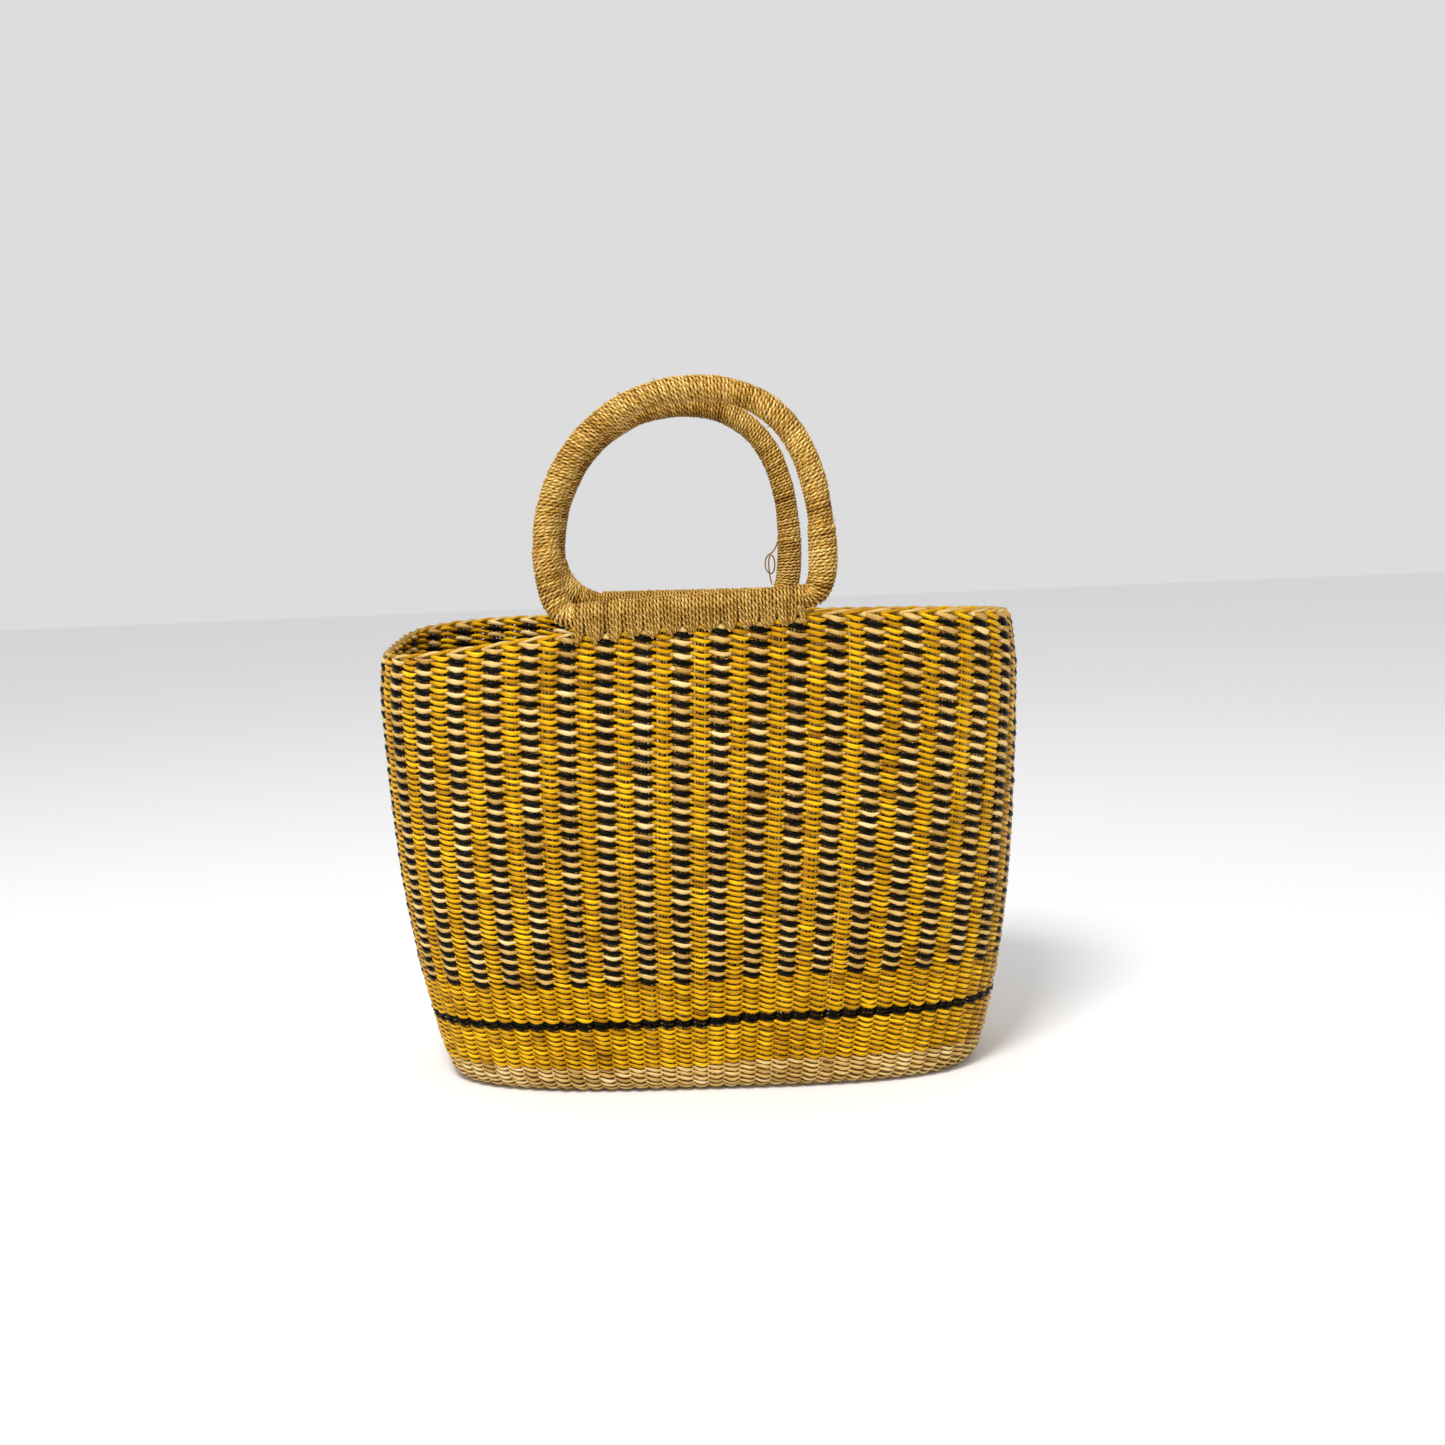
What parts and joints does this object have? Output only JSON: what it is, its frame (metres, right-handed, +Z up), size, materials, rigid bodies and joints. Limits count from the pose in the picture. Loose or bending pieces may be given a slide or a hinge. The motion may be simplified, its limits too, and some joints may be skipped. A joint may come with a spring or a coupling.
{
  "type": "woven market basket",
  "caption": "Oval flared tote basket of twined grass with two tipping wrapped hoop handles lashed to the rim.",
  "frame": {"origin": "on the floor, under the middle of the basket's foot", "axes": "+Z up, X along the long side with the higher end of the rim at +X, front at -Y"},
  "size_m": [0.4192, 0.2022, 0.4566],
  "materials": {
    "natural_grass": "undyed grass straw with a soft sheen",
    "yellow_grass": "yellow dyed grass straw with a soft sheen",
    "black_grass": "black dyed grass straw with a soft sheen",
    "grass_stems": "matte bundled stems",
    "grass_cord": "fine two-ply twisted grass cord, wound closely"
  },
  "bodies": {
    "basket": {"base_panel": "natural_grass", "foot_course": "natural_grass", "lower_yellow_course": "yellow_grass", "black_stripe_course": "black_grass", "upper_yellow_course": "yellow_grass", "checked_course_low": "yellow_grass", "checked_course_middle": "yellow_grass", "checked_course_high": "yellow_grass", "rim_course": "yellow_grass", "front_lashing": "grass_cord", "back_lashing": "grass_cord"},
    "front_handle": {"front_handle_core": "grass_stems", "front_right_binding": "grass_cord", "front_left_binding": "grass_cord", "front_handle_wrap": "grass_cord"},
    "back_handle": {"back_handle_core": "grass_stems", "back_right_binding": "grass_cord", "back_left_binding": "grass_cord", "back_handle_wrap": "grass_cord"}
  },
  "joints": [
    {"name": "front_handle_tip", "type": "hinge", "parent": "basket", "child": "front_handle", "pos_m": [0.001, -0.0925, 0.31505], "axis": [0.999, 0, 0.0436], "range_deg": [-35, 60]},
    {"name": "back_handle_tip", "type": "hinge", "parent": "basket", "child": "back_handle", "pos_m": [-0.021, 0.0925, 0.30984], "axis": [-0.9998, 0, 0.0175], "range_deg": [-35, 60]}
  ]
}
